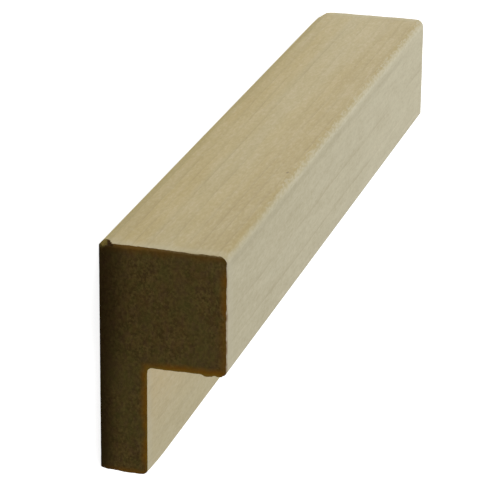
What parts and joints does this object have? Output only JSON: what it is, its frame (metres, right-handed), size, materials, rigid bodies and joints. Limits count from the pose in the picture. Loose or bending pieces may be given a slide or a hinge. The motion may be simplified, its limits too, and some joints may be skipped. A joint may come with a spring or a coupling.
{
  "type": "back band moulding",
  "caption": "Square-edged L-shaped wooden moulding that caps the outer edge of a flat casing, with a rebate over the casing's face and a leg down to the wall.",
  "frame": {"origin": "middle of the footprint, on the floor, the moulding lying on its flat outer side", "axes": "+Y along the length, -X out of the front face, +X out of the leg's foot towards the wall, +Z from the outer side to the inner side where the rebate is"},
  "size_m": [0.0412, 0.1524, 0.0222],
  "materials": {
    "wood": "planed bare hardwood, unfinished, with dark sawn end grain"
  },
  "bodies": {
    "root": {"moulding": "wood"}
  },
  "joints": []
}
